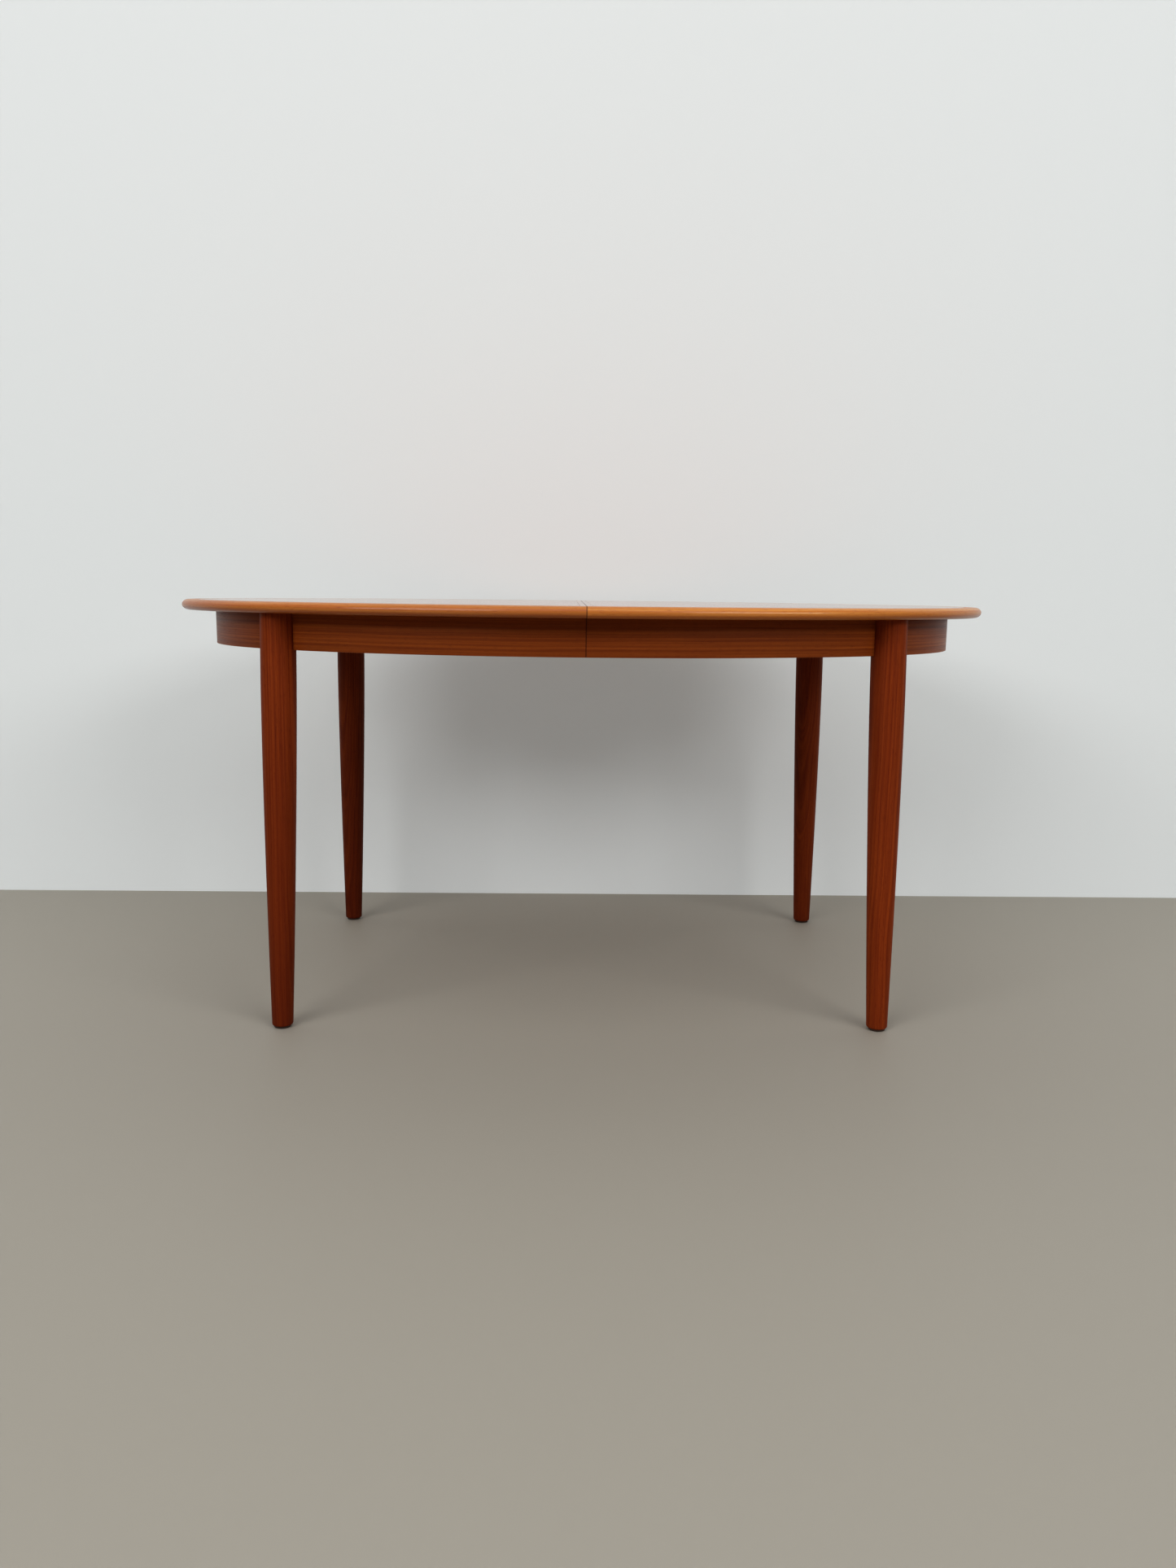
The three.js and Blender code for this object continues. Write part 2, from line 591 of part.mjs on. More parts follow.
for (const [end, xSign] of Object.entries(ENDS)) {
  const half = mirrored(xSign);
  const dowelReach = end === "left" ? DOWEL_OUT + 1.5 : DOWEL_IN + 0.5;
  const panelLane = end === "left" ? LANE_OUTER + SCREW_OFFSET : LANE_INNER - SCREW_OFFSET;
  const panel = cut(topPanel(dowelReach), ...screwHoles(panelLane));
  half.add(named(`top_panel_${end}`, panel, teak));
  half.add(named(`edge_band_${end}`, edgeBand(), edgeTeak));
  half.add(named(`seam_strip_${end}`, seamStrip(), edgeTeak));
  half.add(named(`apron_end_${end}`, apronEnd(), teak));
  half.add(named(`cross_rail_${end}`, crossRail(), beech));
}

for (const [end, xSign] of Object.entries(ENDS)) {
  for (const [side, ySign] of Object.entries(SIDES)) {
    const quarter = mirrored(xSign, ySign);
    quarter.add(named(`apron_${side}_${end}`, apronSide(), teak));

    const corner = new THREE.Group();
    corner.position.set(LEG_CENTRE.x, LEG_CENTRE.y, 0);
    corner.rotation.z = LEG_TURN;
    quarter.add(corner);
    corner.add(named(`leg_${side}_${end}`, leg(), legTeak));
    corner.add(named(`glide_${side}_${end}`, glide(), glidePlastic));
    corner.add(named(`leg_block_${side}_${end}`, legBlock(), beech));
    for (const [place, z] of Object.entries(BOLT_HEIGHTS)) {
      const bolt = named(`leg_bolt_${side}_${end}_${place}`, legBolt(), steel);
      bolt.position.z = z;
      corner.add(bolt);
    }
  }
}

DOWEL_Y.forEach((distance, index) => {
  for (const [side, ySign] of Object.entries(SIDES)) {
    const place = index === 0 ? "inner" : "outer";
    const pin = named(`dowel_${side}_${place}`, dowel(), beech);
    pin.position.set(0, ySign * distance, DOWEL_Z);
    table.add(pin);
  }
});

for (const [side, ySign] of Object.entries(SIDES)) {
  const backPair = mirrored(1, ySign);
  backPair.add(named(`runner_right_${side}`, fixedBar(LANE_INNER, 1), beech));
  backPair.add(named(`runner_middle_${side}`, middleBar(), beech));
  const leftPair = mirrored(-1, ySign);
  leftPair.add(named(`runner_left_${side}`, fixedBar(LANE_OUTER, -1), beech));

  for (const [place, x] of Object.entries(SCREW_X)) {
    const rightScrew = named(`runner_screw_right_${side}_${place}`, runnerScrew(), brass);
    rightScrew.position.set(x, ySign * (LANE_INNER - SCREW_OFFSET), 0);
    const leftScrew = named(`runner_screw_left_${side}_${place}`, runnerScrew(), brass);
    leftScrew.position.set(-x, ySign * (LANE_OUTER + SCREW_OFFSET), 0);
    table.add(rightScrew, leftScrew);
  }

  // The latch is drawn for the front and mirrored for the back. It rests open, with its
  // hook turned a quarter turn from the keeper, towards the middle of the table.
  const latch = mirrored(1, -ySign);
  const pivot = new THREE.Group();
  pivot.position.set(PIVOT_X, -LATCH_Y, 0);
  latch.add(pivot);
  pivot.add(named(`latch_plate_${side}`, latchPlate(), steel));
  pivot.add(named(`latch_pin_${side}`, latchPin(), steel));
  const hook = named(`latch_hook_${side}`, latchHook(), brass);
  hook.rotation.z = Math.PI / 2;
  pivot.add(hook);
  const keeper = named(`latch_keeper_${side}`, latchKeeper(), steel);
  keeper.position.set(KEEPER_X, -LATCH_Y, 0);
  latch.add(keeper);
}

export default table;
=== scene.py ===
"""Looks for the oval extension dining table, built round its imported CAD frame.

Metres, +X along the table, +Y towards the back, +Z up. "left" is -X and "front" is -Y.
The parts that show are rebuilt here with fine curves. The hidden woodwork and the fittings stay as the
frame has them, with softened edges and materials of their own.
"""

import math

import bmesh
import bpy
from mathutils import Matrix, Vector


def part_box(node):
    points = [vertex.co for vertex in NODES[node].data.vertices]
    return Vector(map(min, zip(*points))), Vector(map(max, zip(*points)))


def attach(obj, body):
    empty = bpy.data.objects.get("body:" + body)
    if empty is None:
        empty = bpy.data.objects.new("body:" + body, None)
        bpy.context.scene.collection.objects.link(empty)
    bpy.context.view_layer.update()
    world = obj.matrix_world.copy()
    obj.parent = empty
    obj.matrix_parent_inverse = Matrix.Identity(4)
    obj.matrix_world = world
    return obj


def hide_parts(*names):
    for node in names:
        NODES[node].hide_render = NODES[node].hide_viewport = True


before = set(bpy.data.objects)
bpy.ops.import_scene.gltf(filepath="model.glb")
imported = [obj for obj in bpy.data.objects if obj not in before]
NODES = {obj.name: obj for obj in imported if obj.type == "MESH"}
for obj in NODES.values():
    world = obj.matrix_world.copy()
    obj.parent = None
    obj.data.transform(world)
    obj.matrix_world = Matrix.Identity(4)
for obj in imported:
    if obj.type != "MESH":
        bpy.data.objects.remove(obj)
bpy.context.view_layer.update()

ENDS = {"left": -1, "right": 1}
SIDES = {"front": -1, "back": 1}

# ---- sizes that the frame holds, taken from its right-hand and back parts ----
BAND_LOW, BAND_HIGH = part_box("edge_band_right")
PANEL_LOW, PANEL_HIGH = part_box("top_panel_right")
STRIP_LOW, STRIP_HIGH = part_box("seam_strip_right")
APRON_END_LOW, APRON_END_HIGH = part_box("apron_end_right")
APRON_SIDE_LOW, APRON_SIDE_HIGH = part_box("apron_back_right")
TOP_A = BAND_HIGH.x
TOP_B = BAND_HIGH.y
HEIGHT = BAND_HIGH.z
UNDERSIDE = BAND_LOW.z
PANEL_INSET = TOP_A - PANEL_HIGH.x
PANEL_START = PANEL_LOW.x
APRON_A = APRON_END_HIGH.x
APRON_B = APRON_SIDE_HIGH.y
APRON_LOW = APRON_END_LOW.z
APRON_HIGH = APRON_END_HIGH.z
FOOT = sum(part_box("glide_back_right"), Vector()) / 2

# ---- sizes of the fine shapes ----
FIT = 0.0003
SEAM = 0.00006  # the visible halves meet closer than the frame's, so that no light shows between them
NOSE_DEPTH = 0.012
ARRIS = 0.0006
APRON_THICKNESS = 0.018
LEG_RADIUS = 0.0292
FOOT_RADIUS = 0.0178
FOOT_ROUND = 0.0035
TAPER_START = 0.600
TAPER_POWER = 1.47
GLIDE_THICKNESS = 0.004
GLIDE_RADIUS = 0.0145
GLIDE_EASE = 0.0012
GLIDE_ROUND = 0.0015
AXIS_RADIUS = 0.001  # where the ends of a turned shape close on its axis
LEG_LEAN = 0.0186
LEG_ANGLE = math.radians(43)
LEG_FLAT = 0.0245  # from the leg's axis to the flat on its inner side
PLATE_THICKNESS = 0.002  # of the latches' plates and keepers
PLATE_SCREW_INSET = 0.007  # from a plate's edges to the middle of a screw
PLATE_SCREW_RADIUS = 0.0036
PLATE_SCREW_PROUD = 0.0005
PLATE_SCREW_SLOT = 0.0012
FLAT_BOTTOM = APRON_LOW + 0.002
FLAT_RUN_OUT = 0.0005

# The way out from the middle of the apron's thickness at the leg, which is the way that the leg leans.
APRON_MIDDLE_A = APRON_A - APRON_THICKNESS / 2
APRON_MIDDLE_B = APRON_B - APRON_THICKNESS / 2
LEG_WAY = Vector((math.cos(LEG_ANGLE) / APRON_MIDDLE_A, math.sin(LEG_ANGLE) / APRON_MIDDLE_B))
LEG_WAY.normalize()
LEAN = LEG_WAY * LEG_LEAN
LEG_TOP = Vector((FOOT.x, FOOT.y)) - LEAN * (1 - FOOT.z / UNDERSIDE)
LEG_BEARING = math.atan2(LEG_TOP.y / APRON_B, LEG_TOP.x / APRON_A)  # its angle round the apron's ellipse


# ---- mesh helpers ----
SMOOTH_ANGLE = 35  # degrees: faces that meet at less are shaded as one curve
BEVEL_ANGLE = 40  # degrees: edges that turn by more are eased


def mesh_piece(name, rings, grain, closed_rings=True, caps=True):
    """A skin over rings of points. grain gives each point's place in the wood: along, across and deep."""
    mesh = bpy.data.meshes.new(name)
    count = len(rings[0])
    points = [p for ring in rings for p in ring]
    faces = []
    for i in range(len(rings) - 1):
        for j in range(count if closed_rings else count - 1):
            k = (j + 1) % count
            faces.append((i * count + j, i * count + k, (i + 1) * count + k, (i + 1) * count + j))
    if caps:
        last = (len(rings) - 1) * count
        faces.append(tuple(reversed(range(count))))
        faces.append(tuple(last + j for j in range(count)))
    mesh.from_pydata(points, [], faces)
    attribute = mesh.attributes.new("grain", "FLOAT_VECTOR", "POINT")
    for i, place in enumerate(p for ring in grain for p in ring):
        attribute.data[i].vector = place
    outward(mesh)
    return finished(mesh)


def outward(mesh):
    """Makes every face look outwards."""
    shell = bmesh.new()
    shell.from_mesh(mesh)
    bmesh.ops.recalc_face_normals(shell, faces=shell.faces)
    shell.to_mesh(mesh)
    shell.free()


def finished(mesh):
    """An object for the mesh, shaded smooth except over sharp edges."""
    mesh.shade_smooth()
    mesh.set_sharp_from_angle(angle=math.radians(SMOOTH_ANGLE))
    piece = bpy.data.objects.new(mesh.name, mesh)
    bpy.context.scene.collection.objects.link(piece)
    return piece


def mirror(piece, x_sign, y_sign, grain_offset):
    """Turns a piece drawn at +X and +Y into another quarter, as if cut from another part of the log."""
    for vertex in piece.data.vertices:
        vertex.co.x *= x_sign
        vertex.co.y *= y_sign
    for place in piece.data.attributes["grain"].data:
        place.vector = Vector(place.vector) + Vector(grain_offset)
    if x_sign * y_sign < 0:
        piece.data.flip_normals()
    return piece


def soften(piece, width, segments=2):
    """Rounds a piece's sharp edges by the given width."""
    bevel = piece.modifiers.new("soft edges", "BEVEL")
    bevel.width = width
    bevel.segments = segments
    bevel.limit_method = "ANGLE"
    bevel.angle_limit = math.radians(BEVEL_ANGLE)
    bevel.harden_normals = True


# ---- curves in plan ----
SEARCH_PAST = 0.01  # radians that the search for the seam starts beyond it
HALVINGS = 40


def ellipse_point(a, b, angle, inset):
    """A point a given distance inside the edge of the ellipse with half-axes a and b."""
    normal = Vector((math.cos(angle) / a, math.sin(angle) / b)).normalized()
    return Vector((a * math.cos(angle), b * math.sin(angle))) - inset * normal


def angle_at(a, b, inset, distance, low, high):
    """The angle between low and high where distance(point) changes sign."""
    low_sign = distance(ellipse_point(a, b, low, inset)) > 0
    for _ in range(HALVINGS):
        middle = (low + high) / 2
        if (distance(ellipse_point(a, b, middle, inset)) > 0) == low_sign:
            low = middle
        else:
            high = middle
    return (low + high) / 2


def off_seam(point):
    """How far a point lies on this half's side of the seam."""
    return point.x - SEAM


def sweep(name, section, a, b, start, end, steps):
    """Sweeps [inset, height] pairs round an ellipse. start and end give each pair's limits as angles."""
    limits = [(start(*pair), end(*pair)) for pair in section]
    rings, grain = [], []
    along = 0.0
    before = None
    for i in range(steps + 1):
        share = i / steps
        angles = [low + (high - low) * share for low, high in limits]
        ring = [
            (*ellipse_point(a, b, angle, inset), height)
            for angle, (inset, height) in zip(angles, section)
        ]
        middle = ellipse_point(a, b, angles[0], 0)
        if before is not None:
            along += (middle - before).length
        before = middle
        rings.append(ring)
        grain.append([(along, height, inset) for inset, height in section])
    return mesh_piece(name, rings, grain)


# ---- the top ----
def nose_section():
    """The edge band's section: flush above and below, with a rounded nose."""
    steps = 20
    half = (HEIGHT - UNDERSIDE) / 2
    section = [(PANEL_INSET - FIT / 2, UNDERSIDE)]
    for i in range(steps + 1):
        angle = -math.pi / 2 + math.pi * i / steps
        section.append((NOSE_DEPTH * (1 - math.cos(angle)), UNDERSIDE + half * (1 + math.sin(angle))))
    section.append((PANEL_INSET - FIT / 2, HEIGHT))
    return section


def edge_band(end):
    """The solid edge round one half, from the seam at the front to the seam at the back."""

    def at_front_seam(inset, height):
        return angle_at(TOP_A, TOP_B, inset, off_seam, -math.pi / 2 - SEARCH_PAST, -math.pi / 4)

    def at_back_seam(inset, height):
        return -at_front_seam(inset, height)

    band = sweep(f"band_{end}", nose_section(), TOP_A, TOP_B, at_front_seam, at_back_seam, steps=192)
    return mirror(band, ENDS[end], 1, (0.9 * ENDS[end], 0.05 * ENDS[end], 0.02))


def panel(end):
    """The veneered board of one half, with its straight edge against the seam strip."""
    steps = 160
    outline = []
    limit = angle_at(TOP_A, TOP_B, PANEL_INSET, lambda p: p.x - PANEL_START, math.pi / 4, math.pi / 2)
    for i in range(steps + 1):
        angle = -limit + 2 * limit * i / steps
        outline.append(ellipse_point(TOP_A, TOP_B, angle, PANEL_INSET))
    rings = [[(*p, height) for p in outline] for height in (UNDERSIDE, HEIGHT)]
    grain = [[(*p, height - HEIGHT) for p in outline] for height in (UNDERSIDE, HEIGHT)]
    board = mesh_piece(f"panel_{end}", rings, grain)
    soften(board, ARRIS / 3, 1)
    for vertex in board.data.vertices:
        vertex.co.x *= ENDS[end]
    for place in board.data.attributes["grain"].data:
        place.vector.x *= ENDS[end]
    if ENDS[end] < 0:
        board.data.flip_normals()
    return board


# ---- apron ----
def apron_section():
    """A tall thin rectangle of [inset, height] pairs with its arrises eased."""
    corners = (
        (0, APRON_LOW, 1, 1),
        (0, APRON_HIGH, 1, -1),
        (APRON_THICKNESS, APRON_HIGH, -1, -1),
        (APRON_THICKNESS, APRON_LOW, -1, 1),
    )
    section = []
    for inset, height, inwards, upwards in corners:
        upright_first = inwards != upwards
        for share in (0, 0.5, 1):
            angle = math.pi / 2 * (share if upright_first else 1 - share)
            across = ARRIS * (1 - math.cos(angle))
            up = ARRIS * (1 - math.sin(angle))
            section.append((inset + inwards * across, height + upwards * up))
    return section


def off_leg(height):
    """How far a point at this height lies outside the leg of the back right corner."""
    centre = LEG_TOP + LEAN * (1 - height / UNDERSIDE)
    return lambda p: (p - centre).length - LEG_RADIUS - SEAM


def apron_end(end):
    """The apron round one end, from leg to leg."""

    def at_back_leg(inset, height):
        return angle_at(APRON_A, APRON_B, inset, off_leg(height), 0, LEG_BEARING)

    def at_front_leg(inset, height):
        return -at_back_leg(inset, height)

    piece = sweep(f"apron_{end}", apron_section(), APRON_A, APRON_B, at_front_leg, at_back_leg, steps=96)
    return mirror(piece, ENDS[end], 1, (2.1 * ENDS[end], 0.3, 0))


def apron_side(side, end):
    """The apron between a leg and the seam."""

    def at_leg(inset, height):
        return angle_at(APRON_A, APRON_B, inset, off_leg(height), LEG_BEARING, math.pi / 2)

    def at_seam(inset, height):
        return angle_at(APRON_A, APRON_B, inset, off_seam, math.pi / 4, math.pi / 2 + SEARCH_PAST)

    name = f"apron_{side}_{end}_curved"
    piece = sweep(name, apron_section(), APRON_A, APRON_B, at_leg, at_seam, steps=64)
    return mirror(piece, ENDS[end], SIDES[side], (3.3 * ENDS[end], 0.3 + 0.2 * SIDES[side], 0))


# ---- legs ----
def leg_radius(height):
    narrowing = (LEG_RADIUS - FOOT_RADIUS) * max(0, 1 - height / TAPER_START) ** TAPER_POWER
    return LEG_RADIUS - narrowing


def leg_profile():
    """Radius and height pairs from the foot to the top of the leg."""
    bottom = GLIDE_THICKNESS
    round_steps = 6
    full = leg_radius(bottom + FOOT_ROUND)
    profile = [(AXIS_RADIUS, bottom)]
    for i in range(round_steps + 1):
        angle = math.pi / 2 * i / round_steps
        radius = full - FOOT_ROUND * (1 - math.sin(angle))
        profile.append((radius, bottom + FOOT_ROUND * (1 - math.cos(angle))))
    taper_steps = 40
    for i in range(1, taper_steps + 1):
        height = bottom + FOOT_ROUND + (TAPER_START - bottom - FOOT_ROUND) * i / taper_steps
        profile.append((leg_radius(height), height))
    profile += [(LEG_RADIUS, FLAT_BOTTOM - FLAT_RUN_OUT), (LEG_RADIUS, FLAT_BOTTOM)]
    profile += [(LEG_RADIUS, UNDERSIDE - FIT), (AXIS_RADIUS, UNDERSIDE - FIT)]
    return profile


def turned(name, profile, sides, flat_from=None):
    """A turned shape on the back right leg's axis, with a flat on its inner side above flat_from."""
    rings, grain = [], []
    for radius, height in profile:
        centre = LEG_TOP + LEAN * (1 - height / UNDERSIDE)
        ring = []
        for i in range(sides):
            angle = 2 * math.pi * i / sides
            offset = Vector((math.cos(angle), math.sin(angle))) * radius
            if flat_from is not None and height >= flat_from:
                spare = -LEG_FLAT - offset.dot(LEG_WAY)
                offset += LEG_WAY * max(0, spare)
            ring.append((*(centre + offset), height))
        rings.append(ring)
        grain.append([(height, x - LEG_TOP.x, y - LEG_TOP.y) for x, y, height in ring])
    return mesh_piece(name, rings, grain)


def leg(side, end):
    piece = turned(f"leg_{side}_{end}_turned", leg_profile(), sides=72, flat_from=FLAT_BOTTOM)
    log_place = (0.8 * ENDS[end], 0.11 * ENDS[end], 0.07 * SIDES[side])
    return mirror(piece, ENDS[end], SIDES[side], log_place)


def glide(side, end):
    """The nylon disc under a foot."""
    profile = [
        (AXIS_RADIUS, 0),
        (GLIDE_RADIUS - GLIDE_ROUND, 0),
        (GLIDE_RADIUS - GLIDE_ROUND / 3, GLIDE_EASE / 3),
        (GLIDE_RADIUS, GLIDE_EASE),
        (GLIDE_RADIUS, GLIDE_THICKNESS - GLIDE_EASE),
        (GLIDE_RADIUS - GLIDE_ROUND * 2 / 3, GLIDE_THICKNESS - FIT),
        (AXIS_RADIUS, GLIDE_THICKNESS - FIT),
    ]
    disc = turned(f"glide_{side}_{end}_round", profile, sides=40)
    return mirror(disc, ENDS[end], SIDES[side], (0, 0, 0))


# ---- the latches' fixing screws ----
FIRST_SLOT_TURN = 0.4  # radians
NEXT_SLOT_TURN = 1.9


def prism(shell, outline, low, high):
    """Adds a closed upright prism over the outline."""
    below = [shell.verts.new((*p, low)) for p in outline]
    above = [shell.verts.new((*p, high)) for p in outline]
    shell.faces.new(tuple(reversed(below)))
    shell.faces.new(above)
    for i in range(len(outline)):
        j = (i + 1) % len(outline)
        shell.faces.new((below[i], below[j], above[j], above[i]))


def arc(centre, radius, start, end, steps):
    """Points round a circle, with both ends."""
    angles = [start + (end - start) * i / steps for i in range(steps + 1)]
    return [centre + radius * Vector((math.cos(angle), math.sin(angle))) for angle in angles]


def screw_head(shell, centre, turn):
    """Adds a slotted head that looks down: two half rounds and the slot between them, over a disc."""
    plate_face = UNDERSIDE - PLATE_THICKNESS
    inside = plate_face + PLATE_THICKNESS / 4
    slot_angle = math.asin(PLATE_SCREW_SLOT / 2 / PLATE_SCREW_RADIUS)
    whole = arc(centre, PLATE_SCREW_RADIUS, 0, 2 * math.pi, 32)
    prism(shell, whole[:-1], plate_face - PLATE_SCREW_PROUD / 8, inside)
    for half in (turn, turn + math.pi):
        outline = arc(centre, PLATE_SCREW_RADIUS, half + slot_angle, half + math.pi - slot_angle, 16)
        prism(shell, outline, plate_face - PLATE_SCREW_PROUD, inside)


def plate_screws(node):
    """The heads of the four screws near the corners of a latch's plate, each slot turned its own way."""
    low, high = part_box(node)
    shell = bmesh.new()
    turn = FIRST_SLOT_TURN
    for x in (low.x + PLATE_SCREW_INSET, high.x - PLATE_SCREW_INSET):
        for y in (low.y + PLATE_SCREW_INSET, high.y - PLATE_SCREW_INSET):
            screw_head(shell, Vector((x, y)), turn)
            turn += NEXT_SLOT_TURN
    mesh = bpy.data.meshes.new(f"{node}_screws")
    shell.to_mesh(mesh)
    shell.free()
    outward(mesh)
    screws = finished(mesh)
    soften(screws, PLATE_SCREW_PROUD / 3)
    return screws


# ---- materials ----
class Recipe:
    """A node material under construction, with one Principled surface."""

    def __init__(self, name, **sockets):
        self.material = bpy.data.materials.new(name)
        self.material.use_nodes = True
        self.tree = self.material.node_tree
        self.surface = self.tree.nodes["Principled BSDF"]
        for socket, value in sockets.items():
            self.surface.inputs[socket.replace("_", " ")].default_value = value

    def node(self, kind, inputs=None, **settings):
        made = self.tree.nodes.new(kind)
        for setting, value in settings.items():
            setattr(made, setting, value)
        for socket, value in (inputs or {}).items():
            self.feed(made.inputs[socket], value)
        return made

    def feed(self, socket, value):
        """Links an output into the socket, or sets the socket to a plain value."""
        if isinstance(value, bpy.types.NodeSocket):
            self.tree.links.new(value, socket)
        else:
            socket.default_value = value

    def maths(self, operation, *values):
        made = self.node("ShaderNodeMath", operation=operation)
        for socket, value in zip(made.inputs, values):
            self.feed(socket, value)
        return made.outputs[0]

    def vector_maths(self, operation, *values):
        made = self.node("ShaderNodeVectorMath", operation=operation)
        for socket, value in zip(made.inputs, values):
            self.feed(socket, value)
        return made.outputs[0]

    def noise(self, vector, scale, detail=2.0, roughness=0.5):
        inputs = {"Vector": vector, "Scale": scale, "Detail": detail, "Roughness": roughness}
        return self.node("ShaderNodeTexNoise", inputs).outputs[0]

    def streaks(self, place, scales, detail, roughness=0.5):
        """Noise with a scale of its own on each axis."""
        return self.noise(self.vector_maths("MULTIPLY", place, scales), 1.0, detail, roughness)

    def noise_along(self, place, detail=2.0, roughness=0.5):
        """Noise in one dimension."""
        inputs = {"W": place, "Scale": 1.0, "Detail": detail, "Roughness": roughness}
        return self.node("ShaderNodeTexNoise", inputs, noise_dimensions="1D").outputs[0]

    def object_place(self):
        """The place on the table, as in the frame."""
        return self.node("ShaderNodeTexCoord").outputs["Object"]

    def split(self, vector):
        """The vector's three numbers."""
        return self.node("ShaderNodeSeparateXYZ", {0: vector}).outputs[:3]

    def combine(self, x=0.0, y=0.0, z=0.0):
        return self.node("ShaderNodeCombineXYZ", {0: x, 1: y, 2: z}).outputs[0]

    def remap(self, value, low, high, to_low=0.0, to_high=1.0):
        """Straight from low..high to to_low..to_high, and held at those ends."""
        inputs = {
            "Value": value,
            "From Min": low,
            "From Max": high,
            "To Min": to_low,
            "To Max": to_high,
        }
        return self.node("ShaderNodeMapRange", inputs).outputs[0]

    def mix(self, share, first, second):
        """The first colour where share is 0 and the second where it is 1."""
        made = self.node("ShaderNodeMix", data_type="RGBA")
        for socket, value in ((made.inputs[0], share), (made.inputs[6], first), (made.inputs[7], second)):
            self.feed(socket, value)
        return made.outputs[2]

    def bump(self, height, distance, strength=1.0):
        inputs = {"Height": height, "Distance": distance, "Strength": strength}
        self.feed(self.surface.inputs["Normal"], self.node("ShaderNodeBump", inputs).outputs[0])


def colour(red, green, blue):
    """A linear colour from everyday 8-bit values."""

    def linear(value):
        share = value / 255
        return share / 12.92 if share <= 0.04045 else ((share + 0.055) / 1.055) ** 2.4

    return (linear(red), linear(green), linear(blue), 1.0)


SEAM_SHADE_START = 0.0003  # metres from the seam, where its painted shade begins to fade
SEAM_SHADE_END = 0.0012
SEAM_SHADE_TONE = colour(48, 13, 5)
PAIR_SHIFT = 0.37  # metres along the log from one pair of veneer sheets to the next
HEART_IN_LEAF = 0.4  # where the heart lies across a sheet


def grain_space(recipe, axes):
    """Place along, across and into the wood: the piece's own grain, or the frame's axes in that order."""
    if axes == "grain":
        return recipe.node("ShaderNodeAttribute", attribute_name="grain").outputs["Vector"]
    parts = recipe.split(recipe.object_place())
    return recipe.combine(*(parts["XYZ".index(axis)] for axis in axes))


def seam_shade(recipe):
    """The mask of painted shade in the gap where the halves meet: one on that edge, and zero from about a
    millimetre away.
    """
    x, _, _ = recipe.split(recipe.object_place())
    return recipe.remap(recipe.maths("ABSOLUTE", x), SEAM_SHADE_START, SEAM_SHADE_END, 1.0, 0.0)


def falling_shade(recipe, start, end, share):
    """Painted shade: rises from zero at the start height to the given share at the lower end height."""
    _, _, height = recipe.split(recipe.object_place())
    return recipe.remap(height, start, end, 0.0, share)


def book_matched(recipe, along, across, leaf):
    """Sheets of veneer in pairs that open like a book. The next pair is cut from further along."""
    pair = recipe.maths("FLOOR", recipe.maths("DIVIDE", across, 2 * leaf))
    along = recipe.maths("MULTIPLY_ADD", pair, PAIR_SHIFT, along)
    across = recipe.maths("ADD", recipe.maths("PINGPONG", across, leaf), -HEART_IN_LEAF * leaf)
    return along, across


def growth_rings(recipe, along, across, into, spacing):
    """Rings about a heart below the surface, whose depth drifts slowly as it runs along the piece."""
    drift = recipe.noise_along(recipe.maths("MULTIPLY", along, 1.6))
    heart_depth = recipe.remap(drift, 0.3, 0.7, 0.05, 0.09)
    from_heart = recipe.combine(across, recipe.maths("ADD", into, heart_depth))
    radius = recipe.node("ShaderNodeVectorMath", {0: from_heart}, operation="LENGTH").outputs["Value"]
    ripple = recipe.streaks(recipe.combine(along, across, into), (5.0, 40.0, 40.0), 3.0)
    rings_at = recipe.maths("MULTIPLY_ADD", ripple, 0.45, recipe.maths("DIVIDE", radius, spacing))
    return recipe.remap(recipe.noise_along(rings_at, 2.0, 0.6), 0.3, 0.7)


